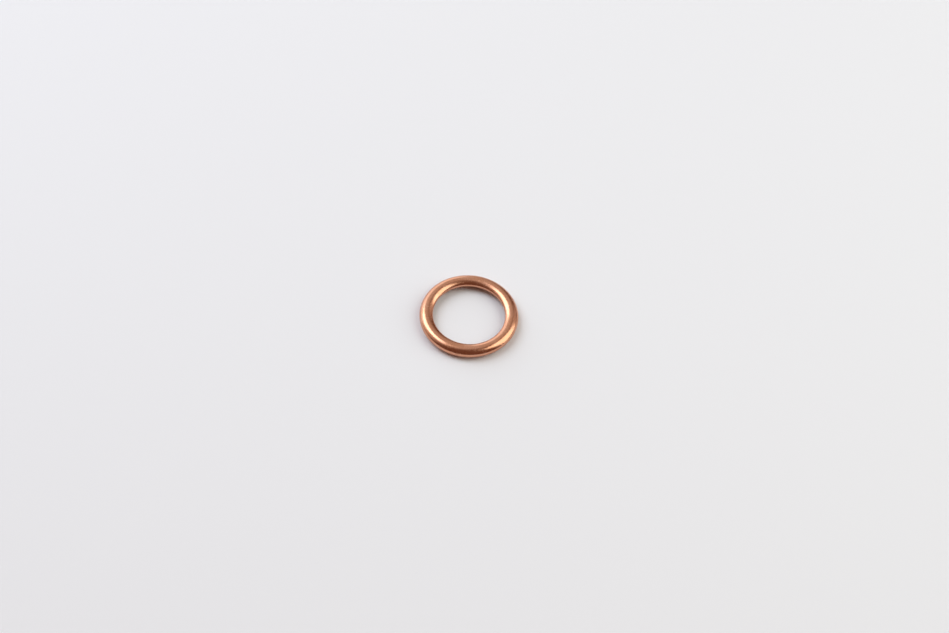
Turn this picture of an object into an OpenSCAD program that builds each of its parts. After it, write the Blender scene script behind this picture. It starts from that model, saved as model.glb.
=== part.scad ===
// Copper crush washer: one copper strip rolled up into a hollow ring, with its seam in the hole.
// It lies flat with +Z along the ring's axis and the origin in the middle of its underside.

/* [Ring] */
// Diameter of the hole that the plug's shank passes through
bore_d = 16; // [8:0.5:30]
// Height of the ring from seat to seat before it is crushed
thickness = 2.5; // [2.1:0.1:4]

/* [Section] */
// Width of the flat seat along the crest of each face
seat_w = 0.1; // [0.05:0.05:1]
// Distance from the outer edge of a seat to the centre of the outer side's rounding
crown_run = 0.5; // [0.4:0.05:0.6]
// Distance from the inner edge of the upper seat to the centre of the hole's rounding
slope_run = 0.75; // [0.6:0.05:0.9]
// Radius of the rounding from the upper face into the hole
bore_edge_r = 0.65; // [0.6:0.05:0.9]
// Height of the straight wall of the hole, above the upper lip of the seam
bore_land = 0.2; // [0.1:0.05:0.3]

/* [Strip] */
// Thickness of the copper strip
strip_t = 0.4; // [0.25:0.05:0.45]
// Distance that the strip's lower edge stands back from the wall of the hole
edge_set = 0.5; // [0.5:0.05:0.6]

/* [Hidden] */
$fn = 128;
copper = [0.72, 0.44, 0.28];

// A face bends from its seat to the rounding beside it through one angle, with tangent arcs.
// The angles are those of a 3-4-5 triangle, so that neighbouring stretches meet exactly.
crown_rise = crown_run / 2;
slope_rise = slope_run / 3;
crown_angle = 2 * atan(crown_rise / crown_run);
slope_angle = 2 * atan(slope_rise / slope_run);
outer_side_r = thickness / 2 - crown_rise;
crown_r = outer_side_r + crown_run / sin(crown_angle);
slope_r = bore_edge_r + slope_run / sin(slope_angle);

// Places across the section, from the hole outwards
bore_r = bore_d / 2;
bore_edge_x = bore_r + bore_edge_r;
seat_in_x = bore_edge_x + slope_run;
seat_out_x = seat_in_x + seat_w;
outer_side_x = seat_out_x + crown_run;

// Heights in the hole: the upper edge of the strip ends as a lip, and the lower edge curls up behind it
bore_edge_z = thickness - slope_rise - bore_edge_r;
upper_lip_z = bore_edge_z - bore_land;
lower_bend_r = seat_in_x - bore_r - edge_set;
lip_r = strip_t / 2;

// Wedge from the origin that reaches past a circle of the given radius
module wedge(radius, from, to) {
    reach = 2 * radius;
    polygon([
        [0, 0],
        for (angle = [from, (from + to) / 2, to]) reach * [cos(angle), sin(angle)]
    ]);
}

// Stretch of the strip that bends about a centre, with its outer face at the radius
module bend(centre, radius, from, to) {
    translate(centre)
        intersection() {
            difference() {
                circle(radius);
                circle(radius - strip_t);
            }
            wedge(radius, from, to);
        }
}

// Rounded edge of the strip, which points up (1) or down (-1) from its place
module lip(place, way) {
    translate(place)
        intersection() {
            circle(lip_r);
            translate([-lip_r, way > 0 ? 0 : -lip_r]) square([strip_t, lip_r]);
        }
}

// Seat of the upper face and the bend from it to the outer side wall
module outer_face() {
    translate([seat_in_x, thickness - strip_t]) square([seat_w, strip_t]);
    bend([seat_out_x, thickness - crown_r], crown_r, 90 - crown_angle, 90);
}

// Upper edge of the strip: down a gentle slope and the wall of the hole, to a rounded lip
module upper_edge() {
    bend([seat_in_x, thickness - slope_r], slope_r, 90, 90 + slope_angle);
    bend([bore_edge_x, bore_edge_z], bore_edge_r, 90 + slope_angle, 180);
    translate([bore_r, upper_lip_z]) square([strip_t, bore_land]);
    lip([bore_r + lip_r, upper_lip_z], -1);
}

// Lower edge of the strip: a quarter turn up from the lower seat, to a lip set back under the upper one
module lower_edge() {
    bend([seat_in_x, lower_bend_r], lower_bend_r, 180, 270);
    lip([bore_r + edge_set + lip_r, lower_bend_r], 1);
}

// The strip's whole section, which starts and ends at the seam in the hole
module section() {
    bend([outer_side_x, thickness / 2], outer_side_r, crown_angle - 90, 90 - crown_angle);
    outer_face();
    translate([0, thickness]) mirror([0, 1]) outer_face();
    upper_edge();
    lower_edge();
}

module washer() {
    color(copper) rotate_extrude() section();
}

washer();
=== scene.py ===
"""A copper crush washer: one copper strip rolled up into a hollow ring, lying on a pale floor."""
import math
import random

import bmesh
import bpy
from mathutils import Matrix, Vector


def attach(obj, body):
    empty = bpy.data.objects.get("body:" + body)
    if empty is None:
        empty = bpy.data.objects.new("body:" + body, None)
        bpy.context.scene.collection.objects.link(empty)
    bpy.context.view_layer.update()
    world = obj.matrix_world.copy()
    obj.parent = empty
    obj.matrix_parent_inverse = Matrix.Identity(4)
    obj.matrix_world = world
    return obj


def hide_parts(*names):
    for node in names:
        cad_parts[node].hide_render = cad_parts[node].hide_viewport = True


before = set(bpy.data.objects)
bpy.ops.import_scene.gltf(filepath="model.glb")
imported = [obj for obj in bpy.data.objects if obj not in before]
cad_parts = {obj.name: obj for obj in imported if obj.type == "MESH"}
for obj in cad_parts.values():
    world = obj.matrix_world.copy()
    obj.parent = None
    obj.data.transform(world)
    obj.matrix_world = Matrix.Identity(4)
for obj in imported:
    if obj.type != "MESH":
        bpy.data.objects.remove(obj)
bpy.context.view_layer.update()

# Lengths are in metres, and a size in millimetres is written as a number times MM
MM = 0.001

# The rolled strip, with the sizes of the part's source
BORE_R = 8.0 * MM
THICKNESS = 2.5 * MM
SEAT_W = 0.1 * MM
CROWN_RUN = 0.5 * MM
SLOPE_RUN = 0.75 * MM
BORE_EDGE_R = 0.65 * MM
BORE_LAND = 0.2 * MM
STRIP_T = 0.4 * MM
EDGE_SET = 0.5 * MM
LIP_R = STRIP_T / 2

# A face leaves its seat level and meets the rounding beside it without a corner
CROWN_RISE = CROWN_RUN / 2
SLOPE_RISE = SLOPE_RUN / 3
CROWN_TURN = 2 * math.atan(CROWN_RISE / CROWN_RUN)
SLOPE_TURN = 2 * math.atan(SLOPE_RISE / SLOPE_RUN)
OUTER_SIDE_R = THICKNESS / 2 - CROWN_RISE
CROWN_R = OUTER_SIDE_R + CROWN_RUN / math.sin(CROWN_TURN)
SLOPE_R = BORE_EDGE_R + SLOPE_RUN / math.sin(SLOPE_TURN)
LOWER_BEND_R = BORE_EDGE_R + SLOPE_RUN - EDGE_SET

# Centres of the section's arcs, as distance from the axis and height
MID_Z = THICKNESS / 2
SEAT_IN_X = BORE_R + BORE_EDGE_R + SLOPE_RUN
SEAT_OUT_X = SEAT_IN_X + SEAT_W
OUTER_SIDE = (SEAT_OUT_X + CROWN_RUN, MID_Z)
UPPER_CROWN = (SEAT_OUT_X, THICKNESS - CROWN_R)
LOWER_CROWN = (SEAT_OUT_X, CROWN_R)
UPPER_SLOPE = (SEAT_IN_X, THICKNESS - SLOPE_R)
BORE_EDGE = (BORE_R + BORE_EDGE_R, THICKNESS - SLOPE_RISE - BORE_EDGE_R)
LOWER_BEND = (SEAT_IN_X, LOWER_BEND_R)

# The seam in the hole: an upper lip, and a lower one that stands back under it
UPPER_LIP = (BORE_R + LIP_R, BORE_EDGE[1] - BORE_LAND)
LOWER_LIP = (BORE_R + EDGE_SET + LIP_R, LOWER_BEND_R)

# An ellipse in the section that parts the hollow from the outer skin
HOLLOW_CENTRE = (9.45 * MM, MID_Z)
HOLLOW_REACH = (1.3 * MM, 1.05 * MM)
HOLLOW_FADE = (0.70, 1.0)

# How finely the mesh follows the strip
OUTSIDE_STEP = 0.085 * MM
INSIDE_STEP = 0.22 * MM
LIP_STEPS = 8
ROUND_STEPS = 480
MERGE_DISTANCE = 0.001 * MM

# What forming and handling did to the surface
UNEVEN_DEPTH = 0.006 * MM
UNEVEN_SIZE = 2.4 * MM
LIP_WAVE_DEPTH = 0.04 * MM
LIP_WAVE_SIZE = 2.0 * MM
LIP_WAVE_REACH = 1.5 * STRIP_T
NICK_COUNT = 16
NICK_DEPTHS = (0.008 * MM, 0.020 * MM)
NICK_WIDTHS = (0.18 * MM, 0.36 * MM)
NICK_FACING = 0.1
NICK_SEED = 11

# Colours of the copper, from clean to dull; the dull one also serves as painted shade in the hollow and
# the seam
COPPER_CLEAN = (0.675, 0.325, 0.200, 1)
COPPER_ROSY = (0.70, 0.358, 0.236, 1)
COPPER_BROWN = (0.55, 0.236, 0.130, 1)
COPPER_DULL_AND_SHADE = (0.29, 0.106, 0.053, 1)

# Rolling lines round the ring, as how often one changes in a turn and how wide it is
FINE_LINES = (4.0, 0.035 * MM)
BROAD_LINES = (2.5, 0.13 * MM)

# Spots in the copper, as their size and how ragged they are
GRAIN = (0.12 * MM, 3.0)
MOTTLE = (2.6 * MM, 4.0)
STAINS = (1.3 * MM, 5.0)
SPECKS = (0.22 * MM, 1.0)

# Two sets of hairline scratches, as heading, spacing and width, and how far their cells are drawn out
CLOSE_HAIRLINES = (math.radians(38), 1.7 * MM, 0.010 * MM)
WIDE_HAIRLINES = (math.radians(63), 2.6 * MM, 0.012 * MM)
HAIRLINE_STRETCH = (1.0, 0.015, 0.3)

# Where in its noise each effect begins and is full
SCRATCHED = (0.42, 0.58)
PITTED = (0.70, 0.80)
ROSY = (0.40, 0.62)
STAINED = (0.52, 0.74)
STREAKED = (0.50, 0.72)
LINED = (0.30, 0.70)

# How far each effect goes in colour
STAIN_SHARE = 0.45
STREAK_SHARE = 0.22
PIT_SHARE = 0.6
SCRATCH_SHARE = 0.35

# Roughness between the fine lines, and what brown, pits and the hollow add to it
LINE_ROUGHNESS = (0.20, 0.27)
BROWN_ROUGHNESS = 0.12
PIT_ROUGHNESS = 0.15
HOLLOW_ROUGHNESS = 0.25

# Height of the fine lines, and the other relief as a multiple of it
RELIEF_HEIGHT = 0.0006 * MM
BROAD_LINE_RELIEF = 1.5
GRAIN_RELIEF = 0.8
SCRATCH_RELIEF = -0.9
PIT_RELIEF = -3.0

FLOOR_COLOUR = (0.873, 0.887, 0.948, 1)
FLOOR_ROUGHNESS = 0.9
FLOOR_DROP = 0.01 * MM
FLOOR_SIZE = 3.0

# Softboxes: name, azimuth from the far side towards the right, elevation, distance, width, height,
# level and colour
SOFTBOXES = (
    ("key_left", -60.0, 51.0, 0.75, 0.40, 0.55, 3.5, (0.87, 0.94, 1.0)),
    ("fill_right", 87.0, 40.0, 0.75, 0.55, 0.86, 2.2, (0.92, 1.0, 0.90)),
    ("back_left", -39.0, 20.0, 0.90, 1.20, 0.58, 1.0, (0.78, 0.90, 1.0)),
    ("back_right", 56.0, 32.0, 0.90, 0.58, 0.66, 0.34, (0.95, 1.0, 1.0)),
)

# The room: dim and warm all round, but paler high up behind the washer on the left
ROOM_DIM = (0.18, 0.09, 0.06, 1)
ROOM_PALE = (0.62, 0.57, 0.52, 1)
ROOM_PALE_WAY = (-0.612, 0.612, 0.5)
ROOM_FADE = (0.40, 0.75)

# The camera that took the photograph, found from the ring's outline
PHOTO_WIDTH = 949
PHOTO_HEIGHT = 633
FIELD_OF_VIEW = math.radians(25.0)
CAMERA_ELEVATION = math.radians(54.4)
CAMERA_ROLL = math.radians(4.3)
RING_PIXEL = (468.93, 315.79)
PIXEL_SIZE = 22.0 / 99.1 * MM
CLIP_START = 0.001
CLIP_END = 10


def start_outline(x, z):
    """Begin an outline as one vertex in the plane y = 0, and stay in edit mode."""
    bpy.ops.object.select_all(action="DESELECT")
    bpy.ops.mesh.primitive_plane_add(size=STRIP_T)
    bpy.ops.object.mode_set(mode="EDIT")
    bpy.ops.mesh.select_all(action="SELECT")
    bpy.ops.mesh.merge(type="CENTER")
    bpy.ops.transform.translate(value=(x, 0, z))
    return bpy.context.object


def draw_arc(centre, radius, turn, step):
    """Draw an arc from the last vertex. A positive turn goes from outwards to upwards."""
    steps = max(2, round(abs(turn) * radius / step))
    bpy.ops.mesh.spin(steps=steps, angle=turn, center=(centre[0], 0, centre[1]), axis=(0, 1, 0))


def draw_line(along, step):
    """Draw a straight run from the last vertex, in equal steps."""
    steps = max(2, round(along.length / step))
    for _ in range(steps):
        bpy.ops.mesh.extrude_region_move(TRANSFORM_OT_translate={"value": along / steps})


def strip_path():
    """The strip's outside from lip to lip: arcs as (centre, radius, turn), straight runs as vectors."""
    return [
        (LOWER_BEND, LOWER_BEND_R, math.pi / 2),
        Vector((SEAT_W, 0, 0)),
        (LOWER_CROWN, CROWN_R, CROWN_TURN),
        (OUTER_SIDE, OUTER_SIDE_R, math.pi - 2 * CROWN_TURN),
        (UPPER_CROWN, CROWN_R, CROWN_TURN),
        Vector((-SEAT_W, 0, 0)),
        (UPPER_SLOPE, SLOPE_R, SLOPE_TURN),
        (BORE_EDGE, BORE_EDGE_R, math.pi / 2 - SLOPE_TURN),
        Vector((0, 0, -BORE_LAND)),
    ]


def draw_section():
    """Draw the strip's section: its outside, the upper lip, back along its inside, the lower lip."""
    lip_step = math.pi * LIP_R / LIP_STEPS
    ring = start_outline(LOWER_LIP[0] - LIP_R, LOWER_LIP[1])
    for run in strip_path():
        if isinstance(run, Vector):
            draw_line(run, OUTSIDE_STEP)
        else:
            draw_arc(*run, OUTSIDE_STEP)
    draw_arc(UPPER_LIP, LIP_R, math.pi, lip_step)
    for run in reversed(strip_path()):
        if isinstance(run, Vector):
            draw_line(-run, INSIDE_STEP)
        else:
            centre, radius, turn = run
            draw_arc(centre, radius - STRIP_T, -turn, INSIDE_STEP)
    draw_arc(LOWER_LIP, LIP_R, math.pi, lip_step)
    return ring


def close_up(merge_distance):
    """Merge doubled vertices of the mesh in edit mode and turn its faces outwards."""
    bpy.ops.mesh.select_all(action="SELECT")
    bpy.ops.mesh.remove_doubles(threshold=merge_distance)
    bpy.ops.mesh.normals_make_consistent(inside=False)


def weigh_lips(ring):
    """Give the lips of the seam a vertex group that fades out along the strip."""
    lips = ring.vertex_groups.new(name="seam_lips")
    for vertex in ring.data.vertices:
        across = math.hypot(vertex.co.x, vertex.co.y)
        near = min(math.dist((across, vertex.co.z), lip) for lip in (UPPER_LIP, LOWER_LIP))
        if near < LIP_WAVE_REACH:
            lips.add([vertex.index], 1 - near / LIP_WAVE_REACH, "REPLACE")
    return lips.name


def wave_surface(ring, name, depth, size, group=""):
    """Push the surface in by up to depth, in soft waves of this size."""
    waves = bpy.data.textures.new(name, "CLOUDS")
    waves.noise_scale = size
    waves.noise_depth = 1
    push = ring.modifiers.new(name, "DISPLACE")
    push.texture = waves
    push.texture_coords = "LOCAL"
    push.strength = depth
    push.mid_level = 1.0
    push.vertex_group = group
    bpy.ops.object.modifier_apply(modifier=name)


def nick_surface(ring):
    """Press small shallow nicks into the outside of the strip, as loose washers get in a bag."""
    draw = random.Random(NICK_SEED)
    bpy.ops.object.mode_set(mode="EDIT")
    mesh = bmesh.from_edit_mesh(ring.data)
    mesh.verts.ensure_lookup_table()
    shell = [v for v in mesh.verts if v.normal.z > NICK_FACING and is_outside(v.co)]
    for _ in range(NICK_COUNT):
        struck = draw.choice(shell)
        depth = draw.uniform(*NICK_DEPTHS)
        width = draw.uniform(*NICK_WIDTHS)
        push = -struck.normal * depth
        bpy.ops.mesh.select_all(action="DESELECT")
        struck.select_set(True)
        bpy.ops.transform.translate(
            value=push,
            use_proportional_edit=True,
            proportional_edit_falloff="SMOOTH",
            proportional_size=width,
        )
    bpy.ops.object.mode_set(mode="OBJECT")


def is_outside(point):
    """True for a point of the ring's outer skin, false inside the hollow."""
    across = (math.hypot(point.x, point.y) - HOLLOW_CENTRE[0]) / HOLLOW_REACH[0]
    up = (point.z - HOLLOW_CENTRE[1]) / HOLLOW_REACH[1]
    return math.hypot(across, up) > 1


def copper_ring():
    """The washer: the strip's section spun round the axis, then made a little uneven."""
    ring = draw_section()
    close_up(MERGE_DISTANCE)
    bpy.ops.mesh.select_all(action="SELECT")
    bpy.ops.mesh.spin(steps=ROUND_STEPS, angle=2 * math.pi, center=(0, 0, 0), axis=(0, 0, 1))
    close_up(MERGE_DISTANCE)
    bpy.ops.object.mode_set(mode="OBJECT")
    ring.name = "copper_ring"
    ring.data.name = "copper_ring"
    wave_surface(ring, "uneven", UNEVEN_DEPTH, UNEVEN_SIZE)
    wave_surface(ring, "lip_waves", LIP_WAVE_DEPTH, LIP_WAVE_SIZE, weigh_lips(ring))
    nick_surface(ring)
    bpy.ops.object.shade_smooth()
    return ring


def add_node(tree, kind, values=None, **settings):
    """Add a shader node, set its properties, and fill its inputs with values or links."""
    node = tree.nodes.new(kind)
    for name, setting in settings.items():
        setattr(node, name, setting)
    for socket, value in (values or {}).items():
        if isinstance(value, bpy.types.NodeSocket):
            tree.links.new(value, node.inputs[socket])
        else:
            node.inputs[socket].default_value = value
    return node


def calculate(tree, operation, first, second=0.0):
    """A Math node's result."""
    return add_node(tree, "ShaderNodeMath", {0: first, 1: second}, operation=operation).outputs[0]


def ramp(tree, value, low, high, to_low=0.0, to_high=1.0):
    """Value taken softly from the range low to high into the range to_low to to_high."""
    values = {"Value": value, 1: low, 2: high, 3: to_low, 4: to_high}
    return add_node(tree, "ShaderNodeMapRange", values, interpolation_type="SMOOTHSTEP").outputs[0]


def blend_colour(tree, amount, first, second):
    """The first colour turned into the second by amount."""
    values = {0: amount, 6: first, 7: second}
    return add_node(tree, "ShaderNodeMix", values, data_type="RGBA").outputs[2]


def noise(tree, place, size, detail):
    """Noise with spots of about this size."""
    values = {"Vector": place, "Scale": 1 / size, "Detail": detail}
    return add_node(tree, "ShaderNodeTexNoise", values).outputs["Fac"]


def ring_places(tree):
    """Where a point lies: its coordinates, its heading from the axis, its distance from it, its height."""
    place = add_node(tree, "ShaderNodeTexCoord").outputs["Object"]
    parts = add_node(tree, "ShaderNodeSeparateXYZ", {0: place}).outputs
    level = add_node(tree, "ShaderNodeCombineXYZ", {"X": parts["X"], "Y": parts["Y"]}).outputs[0]
    heading = add_node(tree, "ShaderNodeVectorMath", {0: level}, operation="NORMALIZE").outputs["Vector"]
    from_axis = add_node(tree, "ShaderNodeVectorMath", {0: level}, operation="LENGTH").outputs["Value"]
    return place, heading, from_axis, parts["Z"]


def rolling_lines(tree, heading, from_axis, height, turns, width):
    """Noise drawn out round the ring: turns sets how often a line changes, width how fine it is."""
    values = {0: heading, 3: turns}
    spread = add_node(tree, "ShaderNodeVectorMath", values, operation="SCALE").outputs["Vector"]
    apart = add_node(tree, "ShaderNodeSeparateXYZ", {0: spread}).outputs
    across = calculate(tree, "DIVIDE", from_axis, width)
    up = calculate(tree, "DIVIDE", height, width)
    values = {"X": apart["X"], "Y": apart["Y"], "Z": across}
    where = add_node(tree, "ShaderNodeCombineXYZ", values).outputs[0]
    values = {"Vector": where, "W": up, "Scale": 1.0, "Detail": 2.0}
    return add_node(tree, "ShaderNodeTexNoise", values, noise_dimensions="4D").outputs["Fac"]


def hairlines(tree, place, heading_turn, spacing, width):
    """Thin straight scratches that all run one way: the edges of long cells."""
    values = {
        "Vector": place,
        "Rotation": (0, 0, heading_turn),
        "Scale": tuple(stretch / spacing for stretch in HAIRLINE_STRETCH),
    }
    laid = add_node(tree, "ShaderNodeMapping", values).outputs[0]
    values = {"Vector": laid, "Scale": 1.0}
    cells = add_node(tree, "ShaderNodeTexVoronoi", values, feature="DISTANCE_TO_EDGE")
    return ramp(tree, cells.outputs["Distance"], 0.0, width / spacing, 1.0, 0.0)


def hollow_mask(tree, from_axis, height):
    """One inside the hollow and in the seam, nothing on the outer skin: it marks where shade is painted.
    """
    squares = []
    for place, centre, reach in zip((from_axis, height), HOLLOW_CENTRE, HOLLOW_REACH):
        offset = calculate(tree, "SUBTRACT", place, centre)
        share = calculate(tree, "DIVIDE", offset, reach)
        squares.append(calculate(tree, "POWER", share, 2.0))
    return ramp(tree, calculate(tree, "ADD", *squares), *HOLLOW_FADE, 1.0, 0.0)


def add_share(tree, total, value, share):
    """The total with a share of the value added."""
    return calculate(tree, "ADD", total, calculate(tree, "MULTIPLY", value, share))


def rolled_copper():
    """Satin copper with rolling lines round the ring, light tarnish, hairlines, pits and painted shade
    inside the hollow and seam.
    """
    material = bpy.data.materials.new("rolled_copper")
    material.use_nodes = True
    tree = material.node_tree
    shader = tree.nodes["Principled BSDF"]
    shader.inputs["Metallic"].default_value = 1.0
    place, heading, from_axis, height = ring_places(tree)

    fine_lines = rolling_lines(tree, heading, from_axis, height, *FINE_LINES)
    broad_lines = rolling_lines(tree, heading, from_axis, height, *BROAD_LINES)
    grain = noise(tree, place, *GRAIN)
    mottle = noise(tree, place, *MOTTLE)
    stains = noise(tree, place, *STAINS)
    specks = noise(tree, place, *SPECKS)

    close_set = hairlines(tree, place, *CLOSE_HAIRLINES)
    wide_set = hairlines(tree, place, *WIDE_HAIRLINES)
    scratches = calculate(tree, "MAXIMUM", close_set, wide_set)
    scratches = calculate(tree, "MULTIPLY", scratches, ramp(tree, mottle, *SCRATCHED))
    pits = ramp(tree, specks, *PITTED)
    hollow = hollow_mask(tree, from_axis, height)

    colour = blend_colour(tree, ramp(tree, mottle, *ROSY), COPPER_CLEAN, COPPER_ROSY)
    brown = ramp(tree, stains, *STAINED, 0.0, STAIN_SHARE)
    colour = blend_colour(tree, brown, colour, COPPER_BROWN)
    streak = ramp(tree, broad_lines, *STREAKED, 0.0, STREAK_SHARE)
    colour = blend_colour(tree, streak, colour, COPPER_BROWN)
    dull_pits = calculate(tree, "MULTIPLY", pits, PIT_SHARE)
    colour = blend_colour(tree, dull_pits, colour, COPPER_DULL_AND_SHADE)
    rosy_scratches = calculate(tree, "MULTIPLY", scratches, SCRATCH_SHARE)
    colour = blend_colour(tree, rosy_scratches, colour, COPPER_ROSY)
    # Painted shade: the hollow and the seam are darkened to the dull copper colour
    colour = blend_colour(tree, hollow, colour, COPPER_DULL_AND_SHADE)
    tree.links.new(colour, shader.inputs["Base Color"])

    rough = ramp(tree, fine_lines, *LINED, *LINE_ROUGHNESS)
    rough = add_share(tree, rough, brown, BROWN_ROUGHNESS)
    rough = add_share(tree, rough, pits, PIT_ROUGHNESS)
    rough = add_share(tree, rough, hollow, HOLLOW_ROUGHNESS)
    tree.links.new(rough, shader.inputs["Roughness"])

    relief = add_share(tree, fine_lines, broad_lines, BROAD_LINE_RELIEF)
    relief = add_share(tree, relief, grain, GRAIN_RELIEF)
    relief = add_share(tree, relief, scratches, SCRATCH_RELIEF)
    relief = add_share(tree, relief, pits, PIT_RELIEF)
    values = {"Height": relief, "Strength": 1.0, "Distance": RELIEF_HEIGHT}
    bump = add_node(tree, "ShaderNodeBump", values)
    tree.links.new(bump.outputs["Normal"], shader.inputs["Normal"])
    return material


def pale_floor():
    """The matt pale sheet that the washer lies on."""
    bpy.ops.object.select_all(action="DESELECT")
    bpy.ops.mesh.primitive_plane_add(size=FLOOR_SIZE, location=(0, 0, -FLOOR_DROP))
    floor = bpy.context.object
    bpy.ops.object.transform_apply(location=True)
    floor.name = "floor"
    material = bpy.data.materials.new("pale_sheet")
    material.use_nodes = True
    shader = material.node_tree.nodes["Principled BSDF"]
    shader.inputs["Base Color"].default_value = FLOOR_COLOUR
    shader.inputs["Roughness"].default_value = FLOOR_ROUGHNESS
    floor.data.materials.append(material)
    return floor


def softbox(name, azimuth, elevation, distance, width, height, level, colour):
    """A soft rectangular lamp that faces the washer. At a level of 1 it looks as bright as white paper."""
    turn = math.radians(azimuth)
    rise = math.radians(elevation)
    towards = Vector((math.sin(turn) * math.cos(rise), math.cos(turn) * math.cos(rise), math.sin(rise)))
    lamp = bpy.data.lights.new(name, "AREA")
    lamp.shape = "RECTANGLE"
    lamp.size = width
    lamp.size_y = height
    lamp.energy = level * math.pi * width * height
    lamp.color = colour
    box = bpy.data.objects.new(name, lamp)
    box.location = towards * distance
    box.rotation_euler = towards.to_track_quat("Z", "Y").to_euler()
    bpy.context.scene.collection.objects.link(box)


def studio():
    """The softboxes and the dim room round them."""
    for box in SOFTBOXES:
        softbox(*box)
    room = bpy.data.worlds.new("room")
    room.use_nodes = True
    tree = room.node_tree
    way = add_node(tree, "ShaderNodeTexCoord").outputs["Generated"]
    values = {0: way, 1: ROOM_PALE_WAY}
    facing = add_node(tree, "ShaderNodeVectorMath", values, operation="DOT_PRODUCT").outputs["Value"]
    colour = blend_colour(tree, ramp(tree, facing, *ROOM_FADE), ROOM_DIM, ROOM_PALE)
    tree.links.new(colour, tree.nodes["Background"].inputs["Color"])
    bpy.context.scene.world = room
    bpy.context.scene.view_settings.view_transform = "Standard"


def photo_camera():
    """A camera where the photographer's was, with the ring at the same place in the picture."""
    pixels_away = PHOTO_WIDTH / 2 / math.tan(FIELD_OF_VIEW / 2)
    distance = pixels_away * PIXEL_SIZE
    back = Vector((0, -math.cos(CAMERA_ELEVATION), math.sin(CAMERA_ELEVATION)))
    level_right = Vector((1, 0, 0))
    level_up = back.cross(level_right)
    right = level_right * math.cos(CAMERA_ROLL) + level_up * math.sin(CAMERA_ROLL)
    up = level_up * math.cos(CAMERA_ROLL) - level_right * math.sin(CAMERA_ROLL)
    aside = (RING_PIXEL[0] - PHOTO_WIDTH / 2) * PIXEL_SIZE
    above = (PHOTO_HEIGHT / 2 - RING_PIXEL[1]) * PIXEL_SIZE
    place = Vector((0, 0, MID_Z)) + back * distance - right * aside - up * above
    lens = bpy.data.cameras.new("photo_camera")
    lens.sensor_fit = "HORIZONTAL"
    lens.angle = FIELD_OF_VIEW
    lens.clip_start = CLIP_START
    lens.clip_end = CLIP_END
    camera = bpy.data.objects.new("photo_camera", lens)
    camera.matrix_world = Matrix.Translation(place) @ Matrix((right, up, back)).transposed().to_4x4()
    bpy.context.scene.collection.objects.link(camera)
    bpy.context.scene.camera = camera


photo_camera()
studio()
pale_floor()

washer = copper_ring()
washer.data.materials.append(rolled_copper())
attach(washer, "root")
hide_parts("washer")
